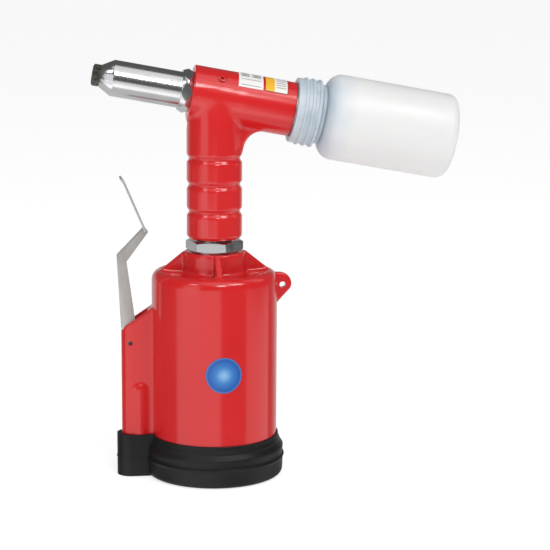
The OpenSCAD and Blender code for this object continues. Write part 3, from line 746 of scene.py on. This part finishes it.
combined(bores, round_bar((-0.0013, 0, 0.2270), (-0.0013, 0, 0.2370), 0.0022, 32))
cut(melted, bores)
bleed_axis = Matrix.Rotation(pi / 2 + tilt, 3, "Y") @ Vector((-cos(pi / 4), -sin(pi / 4), 0))
bleed_foot = Vector((0, 0, head_z)) + 0.0015 * pull_axis


def along_bleed(start, end, radius, segments=48):
    """A round bar on the axis of the bleed screw."""
    return round_bar(bleed_foot + start * bleed_axis, bleed_foot + end * bleed_axis, radius, segments)


cut(melted, along_bleed(0.008, 0.02, 0.0009))
cut(melted, along_bleed(0.014, 0.02, 0.0015))
cut(melted, along_bleed(barrel_r - 0.0007, barrel_r + 0.004, 0.003))
finished("grip_and_barrel_casting", "gun", enamel, melted, 40, "head_casting")

# ---- Bleed screw ----
# A small socket screw with a copper washer, in a spot face on the barrel's shoulder. It lets the air
# out of the oil, and it is painted over with the casting.

screw = along_bleed(0.0142, barrel_r - 0.0001, 0.0015)
screw_head = eased(along_bleed(barrel_r - 0.0003, barrel_r + 0.0007, 0.0023), 0.0002)
combined(screw, screw_head)
bpy.ops.mesh.primitive_cylinder_add(vertices=6, radius=0.0012, depth=0.003)
socket = bpy.context.active_object
socket.rotation_euler = bleed_axis.to_track_quat("Z", "Y").to_euler()
socket.location = bleed_foot + (barrel_r + 0.0007) * bleed_axis
cut(screw, settle(socket))
finished("bleed_screw_painted", "gun", enamel, screw, 35, "bleed_screw")
copper = turned_metal("copper_washer", (0.78, 0.42, 0.29), 0.3)
dressed(copper, "bleed_washer", "inlet_washer")

# ---- Labels and badge ----
# Printed vinyl: a white label with plain grey rules and an amber one on the barrel, and a round blue
# badge on the air cylinder. The vinyl is thin, slightly glossy, and follows the metal under it.

label_from = 0.0121
label_to = 0.0277
amber_from = 0.0288
amber_to = 0.0436
badge_r = 0.0114
badge_z = 0.0727
badge_turn = radians(2.6)


def film(name, low, high, material, node):
    """A label on the barrel, from the top of it 56 degrees down its near side."""
    edge = 0.03
    sector = [(0, 0)] + [(edge * cos(radians(a)), edge * sin(radians(a))) for a in (180, 198, 217, 236)]
    wedge = prism(sector, low, high)
    sleeve = hoop(barrel_r + 0.00002, barrel_r + 0.0002, low - 0.001, high + 0.001, 192)
    combined(sleeve, wedge, "INTERSECT")
    finished(name, "gun", material, on_barrel(sleeve), 30, node)


def seen_from(place, height, turn, scale=(1, 1, 1)):
    """X, Y and Z of a pattern that is centred on the upright axis at a height, turned and scaled."""
    tree = place.id_data
    mapping = tree.nodes.new("ShaderNodeMapping")
    mapping.vector_type = "TEXTURE"
    mapping.inputs["Location"].default_value = (0, 0, height)
    mapping.inputs["Rotation"].default_value = turn
    mapping.inputs["Scale"].default_value = scale
    tree.links.new(place, mapping.inputs["Vector"])
    parts = tree.nodes.new("ShaderNodeSeparateXYZ")
    tree.links.new(mapping.outputs["Vector"], parts.inputs["Vector"])
    return parts.outputs


def barrel_grid(place):
    """Place along the barrel and angle round it, for the print on the labels."""
    parts = seen_from(place, head_z, head_turn)
    return parts["Z"], sums("ARCTAN2", parts["Y"], parts["X"])


def between(value, low, high):
    """1 where a pattern's value lies between two numbers."""
    return sums("MULTIPLY", sums("GREATER_THAN", value, low), sums("LESS_THAN", value, high))


def ruled(along, angle, columns, rows, half):
    """Plain rules across a label: columns give their ends along it, rows their angles in degrees."""
    ink = None
    for low, high in columns:
        for row in rows:
            band = between(angle, -radians(row + half), -radians(row - half))
            line = sums("MULTIPLY", band, between(along, low, high))
            ink = line if ink is None else sums("MAXIMUM", ink, line)
    return ink


def vinyl(name, color):
    """Printed vinyl film: a faint gloss with slight waviness."""
    material, shader, place = finish(name, color, roughness=0.32)
    vary(shader, grain(place, 0.004), 0.26, 0.4)
    relief(shader, grain(place, 0.0015), 0.000008)
    return material, shader, place


def vinyl_white():
    """White vinyl with two columns of plain grey rules and two rules across."""
    white = (0.8, 0.79, 0.77)
    material, shader, place = vinyl("label_white", white)
    along, angle = barrel_grid(place)
    small = ruled(along, angle, [(0.0136, 0.0188), (0.0208, 0.0262)], [176, 170, 164, 158], 1.5)
    wide = ruled(along, angle, [(0.0136, 0.0262)], [146, 130], 0.7)
    tint(shader, sums("MAXIMUM", small, wide),
         [(0.0, white), (1.0, (0.1, 0.1, 0.11))])
    return material


def vinyl_amber():
    """Vinyl that is amber on one side and white with plain grey rules on the other, thinly bordered."""
    amber = (0.83, 0.46, 0.02)
    white = (0.8, 0.78, 0.74)
    black = (0.03, 0.03, 0.03)
    grey = (0.3, 0.3, 0.3)
    divide = amber_from + 0.0062
    material, shader, place = vinyl("label_amber", amber)
    along, angle = barrel_grid(place)
    inside = sums("MULTIPLY", between(angle, -radians(179), -radians(125)),
                  between(along, amber_from + 0.0004, amber_to - 0.0004))
    right = sums("MULTIPLY", inside, sums("GREATER_THAN", along, divide))
    rows = range(137, 173, 7)
    rules = ruled(along, angle, [(divide + 0.0012, amber_to - 0.0014)], rows, 1.1)
    level = sums("ADD", sums("MULTIPLY", inside, 0.4), sums("MULTIPLY", right, 0.5))
    level = sums("SUBTRACT", level, sums("MULTIPLY", rules, 0.3))
    tint(shader, level,
         [(0.0, black), (0.2, black), (0.21, amber), (0.5, amber), (0.51, grey), (0.7, grey), (0.71, white)])
    return material


def vinyl_blue():
    """Blue vinyl that grows lighter towards the middle, inside a darker rim."""
    material, shader, place = vinyl("badge_blue", (0.02, 0.12, 0.5))
    parts = seen_from(place, badge_z, (0, 0, badge_turn), (badge_r, 1, badge_r))
    square = sums("MULTIPLY_ADD", parts["X"], parts["X"], sums("MULTIPLY", parts["Z"], parts["Z"]))
    reach = sums("SQRT", square)
    tint(shader, reach,
         [(0.0, (0.25, 0.5, 0.76)), (0.45, (0.04, 0.2, 0.54)), (0.9, (0.008, 0.085, 0.38)),
          (0.92, (0.05, 0.16, 0.42)), (1.0, (0.05, 0.16, 0.42))])
    return material


film("rating_label_vinyl", label_from, label_to, vinyl_white(), "rating_label")
film("service_label_vinyl", amber_from, amber_to, vinyl_amber(), "service_label")
badge = hoop(cylinder_r + 0.00002, cylinder_r + 0.0003, 0.055, 0.095, 256)
badge_front = Vector((sin(badge_turn), -cos(badge_turn), 0))
badge_middle = Vector((0, 0, badge_z))
combined(badge, round_bar(badge_middle, badge_middle + 0.06 * badge_front, badge_r, 96), "INTERSECT")
finished("cylinder_badge_vinyl", "gun", vinyl_blue(), badge, 30, "cylinder_badge")

# ---- Pulling head ----
# Inside the barrel the oil pushes a steel piston towards the bottle. Its rod pulls the jaw case,
# whose three hardened jaws grip the mandrel, and a coil spring drives everything back.

dark_steel = turned_metal("dark_steel", (0.2, 0.195, 0.19), 0.38, head_turn, 0.0004)
head_spring_steel = turned_metal("spring_steel_head", (0.36, 0.35, 0.34), 0.36, head_turn, 0.0008)


def coil(radius, wire, low, high, turns):
    """A round-wire spring along the upright axis, drawn round by the screw tool."""
    bpy.ops.mesh.primitive_circle_add(vertices=14, radius=wire, location=(radius, 0, low),
                                      rotation=(pi / 2, 0, 0))
    piece = settle(bpy.context.active_object)
    wind = piece.modifiers.new("wind", "SCREW")
    wind.axis = "Z"
    wind.screw_offset = high - low
    wind.angle = 2 * pi * turns
    wind.steps = round(turns * 32)
    wind.render_steps = wind.steps
    wind.use_smooth_shade = True
    piece.location = (0, 0, 0)
    apply_last(piece)
    bpy.ops.object.mode_set(mode="EDIT")
    return sealed(piece)


dressed(head_zinc, "head_piston", "mandrel_tube", "jaw_pusher")
dressed(dark_steel, "piston_coupler", "jaw_case", "jaw_a", "jaw_b", "jaw_c")
dressed(nitrile, "head_piston_seal", "rod_seal")
jaw_spring = on_barrel(coil(0.0053, 0.0006, -0.0443, -0.0347, 4))
finished("jaw_spring_wire", "head_piston", head_spring_steel, jaw_spring, 50, "jaw_spring")
return_spring = on_barrel(coil(0.0088, 0.0011, 0.0122, 0.0388, 4.5))
finished("return_spring_wire", "gun", head_spring_steel, return_spring, 50, "return_spring")
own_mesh(return_spring)

# ---- Nose ----
# The chromed steel housing screws into the barrel and is locked by a chromed hexagon nut. The
# hardened nosepiece with its own small hexagon screws into the housing's tapered front.

nose_r = 0.0114
nut_front = -0.0222
nose_nut_af = 0.0255
housing_front = -0.0729
nosepiece_front = -0.0776
nosepiece_af = 0.012


def nose_chrome():
    """Chrome over turned steel: the tool's fine rings still show through the plating."""
    material, shader, place = finish("nose_chrome", (0.74, 0.74, 0.75), 1.0, 0.18)
    rings = grain(place, (0.2, 0.2, 0.0004), 4, head_turn)
    haze = grain(place, 0.02, 2, head_turn)
    tint(shader, haze, [(0.3, (0.7, 0.7, 0.715)), (0.65, (0.78, 0.78, 0.79))])
    vary(shader, rings, 0.13, 0.24)
    worn(shader, place, (0.92, 0.92, 0.92), 0.0003)
    relief(shader, rings, 0.000006)
    return material


def nosepiece_steel():
    """Hardened alloy steel, oil-blackened and worn brown-grey by use."""
    material, shader, place = finish("nosepiece_steel", (0.1, 0.095, 0.082), 0.85, 0.42)
    wear = grain(place, 0.003, 5, head_turn)
    tint(shader, wear, [(0.35, (0.07, 0.066, 0.058)), (0.7, (0.2, 0.19, 0.165))])
    vary(shader, wear, 0.34, 0.55)
    worn(shader, place, (0.42, 0.4, 0.36), 0.0003)
    relief(shader, grain(place, 0.0008, 3), 0.00003)
    return material


chrome = nose_chrome()
housing = turned([
    (0.0040, housing_front), (0.0066, housing_front), (0.0069, housing_front + 0.0003),
    (nose_r - 0.00015, -0.0652), *arc(nose_r - 0.0006, -0.0647, 0.0006, 20, 0, 3),
    (nose_r, nut_front), (0.0095, nut_front), (0.0095, -0.005), (0.0086, -0.005), (0.0086, -0.0635),
    (0.004, -0.066), (0.0040, housing_front)], 160)
finished("nose_housing_chromed", "gun", chrome, on_barrel(housing), 25, "nose_housing")
nose_nut = hexagon(nose_nut_af, nut_front, barrel_front)
nut_middle = (nut_front + barrel_front) / 2
nut_shape = turned([(0.001, nut_front), (0.0126, nut_front), (0.0140, nut_middle), (0.0126, barrel_front),
                    (0.001, barrel_front)], 96)
combined(nose_nut, nut_shape, "INTERSECT")
cut(nose_nut, round_bar((0, 0, -0.03), (0, 0, 0), 0.0096, 96))
eased(nose_nut, 0.0003, 3, 18)
finished("nose_lock_nut_chromed", "gun", chrome, on_barrel(nose_nut), 16, "nose_lock_nut")
tip = hexagon(nosepiece_af, nosepiece_front, housing_front)
tip_cone = turned([(0.001, nosepiece_front), (0.0056, nosepiece_front), (0.0070, nosepiece_front + 0.0009),
                   (0.0070, housing_front), (0.001, housing_front)], 96)
combined(tip, tip_cone, "INTERSECT")
combined(tip, round_bar((0, 0, housing_front - 0.0001), (0, 0, -0.063), 0.0039))
combined(tip, round_bar((0, 0, -0.0631), (0, 0, -0.059), 0.0028))
cut(tip, round_bar((0, 0, -0.08), (0, 0, -0.05), 0.0016))
eased(tip, 0.00025, 2, 25)
finished("nosepiece_hardened", "gun", nosepiece_steel(), on_barrel(tip), 16, "nosepiece")

# ---- Rear cap, collar and bottle ----
# A turned aluminium cap closes the barrel. A soft translucent collar with moulded rings slips over
# its spigot and holds the blow-moulded milky bottle that catches the spent mandrels.

collar_r = 0.0205
neck_r = 0.0173
spigot_r = 0.0140
bottle_r = 0.0272
bottle_wall = 0.0013
bottle_end = 0.154
shoulder_z = 0.0695


def collar_plastic():
    """Bluish translucent vinyl with soft mould marks."""
    material, shader, place = finish("collar_plastic", (0.5, 0.56, 0.62), roughness=0.3, more={
        "Subsurface Weight": 0.3, "Subsurface Radius": (0.6, 0.8, 1.0), "Subsurface Scale": 0.002})
    cloud = grain(place, 0.008, 2, head_turn)
    tint(shader, cloud, [(0.3, (0.44, 0.51, 0.57)), (0.7, (0.54, 0.6, 0.65))])
    vary(shader, cloud, 0.28, 0.4)
    relief(shader, grain(place, 0.002, 1), 0.000008)
    return material


def bottle_plastic():
    """Milky blow-moulded polyethylene, waxy, with painted bluish shade that fades out along the neck, standing
    for the collar and the dark inside seen through the wall.
    """
    material, shader, place = finish("bottle_plastic", (0.8, 0.79, 0.775), roughness=0.36, more={
        "Subsurface Weight": 0.5, "Subsurface Radius": (1.0, 0.9, 0.8), "Subsurface Scale": 0.004})
    cloud = grain(place, (0.02, 0.02, 0.03), 2, head_turn)
    along = seen_from(place, head_z, head_turn)["Z"]
    # painted shade: bluish towards the neck, for the collar and the dark inside seen through the wall; cloudy
    # noise blurs its edge
    painted_neck_shade = sums("MULTIPLY_ADD", cloud, 0.010, along)
    tint(shader, spread(painted_neck_shade, 0.070, 0.092),
         [(0.0, (0.4, 0.49, 0.58)), (0.5, (0.66, 0.7, 0.735)), (1.0, (0.8, 0.79, 0.775))])
    vary(shader, cloud, 0.3, 0.42)
    relief(shader, grain(place, (0.008, 0.008, 0.016), 1, head_turn), 0.00006)
    return material


dressed(head_aluminium, "rear_cap")
dressed(nitrile, "rear_cap_seal", "spigot_o_ring")
collar_line = [(neck_r, 0.0505), (0.0199, 0.0505), *arc(collar_r - 0.0006, 0.0511, 0.0006, -60, 0, 3)]
for ring in range(3):
    start = 0.0549 + 0.0044 * ring
    ring_r = 0.0214 + 0.0001 * ring
    collar_line += [(collar_r, start - 0.0003), (collar_r + 0.0003, start), (ring_r - 0.0002, start + 0.0002),
                    (ring_r, start + 0.0006), (ring_r, start + 0.0013), (ring_r - 0.0002, start + 0.0017),
                    (collar_r + 0.0003, start + 0.0019), (collar_r, start + 0.0022)]
over_neck = neck_r + 0.0001
over_spigot = spigot_r + 0.0001
collar_line += [*arc(collar_r - 0.0004, 0.0656, 0.0004, 0, 90, 4), (over_neck, 0.066), (over_neck, 0.0560),
                (over_spigot, 0.0560), (over_spigot, 0.0531), (neck_r, 0.0531), (neck_r, 0.0505)]
collar = on_barrel(turned(collar_line, 160))
finished("collar_moulding", "bottle", collar_plastic(), collar, 40, "bottle_collar")
swell = bottle_r - neck_r
end_round = 0.006
# along the inner wall to the neck, and back along the outer one
bottle_line = [
    (0.0003, bottle_end - 0.0031), (0.0165, bottle_end - 0.0029), (0.0185, bottle_end - 0.0021),
    *arc(bottle_r - end_round, bottle_end - end_round, end_round - bottle_wall, 88, 0, 10),
    *arc(neck_r, shoulder_z + swell, swell - bottle_wall, 0, -86, 14),
    (neck_r - bottle_wall, 0.0561), (neck_r, 0.0561), (neck_r, 0.0663),
    *arc(0.0182, 0.0668, 0.0005, -90, 0, 3), *arc(0.0182, 0.0681, 0.0005, 0, 90, 3), (neck_r + 0.0003, 0.0688),
    *arc(neck_r, shoulder_z + swell, swell, -86, 0, 16),
    *arc(bottle_r - end_round, bottle_end - end_round, end_round, 0, 90, 12),
    (0.0205, bottle_end), (0.0185, bottle_end - 0.0006), (0.0165, bottle_end - 0.0016),
    (0.0003, bottle_end - 0.0018),
]
bottle = on_barrel(turned(bottle_line, 160))
finished("bottle_moulding", "bottle", bottle_plastic(), bottle, 40, "collection_bottle")

# ---- Trigger valve ----
# Under the trigger a steel spool slides in the valve block. A light spring rests on a brass plug
# and holds the spool up against the trigger's foot.

brass = turned_metal("brass", (0.78, 0.57, 0.27), 0.3)
dressed(brass, "valve_plug")
valve_spring = coil(0.003, 0.00045, 0.0165, 0.0265, 5)
valve_spring.location = (valve_x, 0, 0)
settle(valve_spring)
finished("valve_spring_wire", "gun", spring_steel, valve_spring, 50, "valve_spring")
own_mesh(valve_spring)

# ---- Trigger ----
# A channel folded from sheet steel, hung on a cross pin, with a wide plate welded on for the
# fingers and curled outward at its tip. The steel is brushed along its length.

pin_half = 0.0052
lever_half = 0.0033
sheet = 0.0015
plate_thick = 0.0014
plate_width = 0.015

roll_pin = round_bar((pin_x, -pin_half, pin_z), (pin_x, pin_half, pin_z), pin_r)
eased(roll_pin, 0.0002, 2, 40)
cut(roll_pin, round_bar((pin_x, -0.01, pin_z), (pin_x, 0.01, pin_z), 0.0009, 32))
pin_slit = block((pin_x - 0.0002, -0.01, pin_z), (pin_x + 0.0002, 0.01, pin_z + 0.003))
cut(roll_pin, pin_slit)
finished("trigger_roll_pin", "gun", spring_steel, roll_pin, 30, "trigger_pin")


def trigger_steel():
    """Brushed sheet steel, slightly warm, with long fine scratches and a dull edge."""
    material, shader, place = finish("trigger_steel", (0.6, 0.58, 0.56), 0.65, 0.42)
    brush = grain(place, (0.0002, 0.0002, 0.03), 3)
    stain = grain(place, (0.007, 0.007, 0.012), 4)
    tint(shader, stain, [(0.3, (0.56, 0.54, 0.52)), (0.65, (0.66, 0.64, 0.615))])
    vary(shader, brush, 0.34, 0.5)
    worn(shader, place, (0.85, 0.84, 0.82), 0.0003)
    relief(shader, brush, 0.00001)
    return material


def strip_outline(line, thickness):
    """The outline of a bent strip of even thickness along a line of points."""
    points = [Vector(point) for point in line]
    left, right = [], []
    for i, point in enumerate(points):
        before = (point - points[i - 1]).normalized() if i else (points[1] - point).normalized()
        after = (points[i + 1] - point).normalized() if i < len(points) - 1 else before
        across = (before + after).normalized()
        aside = Vector((-across.y, across.x)) * thickness / 2 / max(0.5, across.dot(before))
        left.append(tuple(point + aside))
        right.append(tuple(point - aside))
    return left + right[::-1]


lever = plate([
    (-0.0447, 0.1613), (-0.0617, 0.1437), *arc(-0.0602, 0.1424, 0.0020, 140, 180, 4), (-0.0598, 0.0972),
    (-0.0597, 0.0959), (-0.0577, 0.0959), *arc(pin_x, pin_z, 0.0033, 180, 270, 10),
    *arc(valve_x, 0.0840, 0.0017, 270, 450, 12),
    (-0.0504, 0.0890), (-0.0513, 0.1037), (-0.0562, 0.1395), (-0.0424, 0.1583)], 2 * lever_half)
eased(lever, 0.0004, 3, 50)
channel_line = [(-0.0583, 0.0972), (-0.0608, 0.1423), (-0.0452, 0.1586), (-0.0380, 0.1500), (-0.0480, 0.1000)]
cut(lever, plate(channel_line, 2 * (lever_half - sheet)))
finger_line = [(-0.0442, 0.1589), (-0.0569, 0.1886), (-0.0577, 0.1902), (-0.0596, 0.1928)]
finger_plate = plate(strip_outline(finger_line, plate_thick), plate_width)
eased(finger_plate, 0.0004, 3, 50)
combined(lever, finger_plate)
cut(lever, round_bar((pin_x, -0.01, pin_z), (pin_x, 0.01, pin_z), 0.00155, 32))
finished("trigger_sheet_steel", "trigger", trigger_steel(), lever, 16, "trigger_lever")

# ---- Air inlet and silencer ----
# On the far side of the valve block a brass bush takes the air hose, over a copper washer. Above it
# a sintered bronze silencer lets the spent air out.

def on_port(piece, height):
    """Moves a piece that was made upright to a port of the valve block, pointing to +Y."""
    piece.rotation_euler = (-pi / 2, 0, 0)
    piece.location = (valve_x, 0, height)
    return settle(piece)


def sintered_bronze():
    """Bronze beads sintered together: rough and porous, with painted shade in the pores between the beads."""
    material, shader, place = finish("sintered_bronze", (0.45, 0.31, 0.16), 0.9, 0.55)
    tree = material.node_tree
    beads = tree.nodes.new("ShaderNodeTexVoronoi")
    beads.inputs["Scale"].default_value = 2200
    tree.links.new(place, beads.inputs["Vector"])
    # painted shade: the colour grows darker between the beads, in pores that are only relief
    tint(shader, beads.outputs["Distance"],
         [(0.0, (0.6, 0.42, 0.22)), (0.6, (0.2, 0.13, 0.07))])
    vary(shader, grain(place, 0.002), 0.45, 0.65)
    relief(shader, beads.outputs["Distance"], -0.00015)
    return material


port_brass = turned_metal("brass_port", (0.78, 0.57, 0.27), 0.28, (-pi / 2, 0, 0))
bush_low = 0.0136
bush_high = 0.0266
bush = hexagon(0.017, bush_low, bush_high, 0)
bush_cone = turned([(0.001, bush_low), (0.0083, bush_low), (0.0099, bush_low + 0.0008),
                    (0.0099, bush_high - 0.0008), (0.0083, bush_high), (0.001, bush_high)], 96)
combined(bush, bush_cone, "INTERSECT")
combined(bush, round_bar((0, 0, 0.007), (0, 0, bush_low + 0.0002), port_r))
cut(bush, round_bar((0, 0, 0), (0, 0, 0.04), 0.003))
thread = turned([(0.0059 + 0.0004 * (step % 2), 0.0166 + 0.0006 * step) for step in range(18)], 96)
cut(bush, thread)
on_port(eased(bush, 0.0002, 2, 40), inlet_z)
finished("inlet_bush_brass", "gun", port_brass, bush, 16, "inlet_bush")
silencer = turned([
    (0.0002, 0.012), (0.0025, 0.012), (0.0025, 0.005), (0.005, 0.005), (0.005, 0.009), (0.0061, 0.009),
    (0.0064, 0.0093), (0.0064, 0.0107), (0.0061, 0.011), (0.005, 0.011), (0.005, 0.014),
    *arc(0, 0.014, 0.005, 6, 80, 10), (0.0002, 0.019)], 96)
on_port(silencer, exhaust_z)
finished("silencer_bronze", "gun", sintered_bronze(), silencer, 30, "exhaust_silencer")
